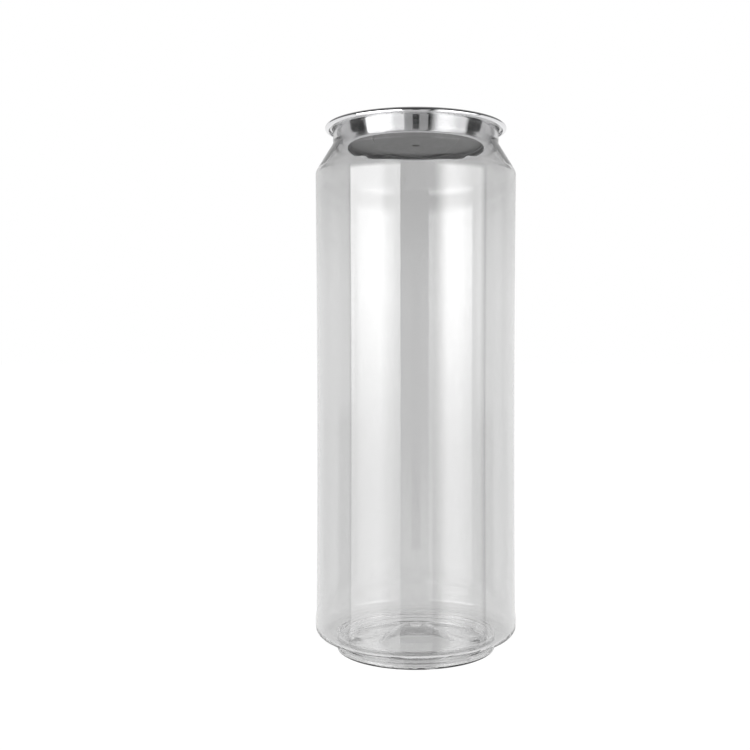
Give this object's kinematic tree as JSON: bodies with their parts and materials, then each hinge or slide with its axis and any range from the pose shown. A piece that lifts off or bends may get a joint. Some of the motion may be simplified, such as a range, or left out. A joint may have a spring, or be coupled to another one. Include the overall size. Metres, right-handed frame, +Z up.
{
  "type": "clear plastic drink can",
  "caption": "Tall clear plastic drink can, empty and shut, with a waisted side, ribbed foot ring and a domed base, and a bright aluminium easy-open end with a pull tab.",
  "frame": {"origin": "centre of the foot plane, under the can's axis", "axes": "+Z up along the can's axis; the end's mouth lies towards -Y and the tab's finger end towards +Y; +X to the right seen from the mouth side"},
  "size_m": [0.0662, 0.0662, 0.1719],
  "materials": {
    "clear_plastic": "clear, glossy, thin-walled PET",
    "end_aluminium": "bright rolled sheet",
    "tab_aluminium": "satin rolled sheet"
  },
  "bodies": {
    "root": {"clear_body": "clear_plastic", "lid_end": "end_aluminium", "pull_tab": "tab_aluminium"}
  },
  "joints": []
}
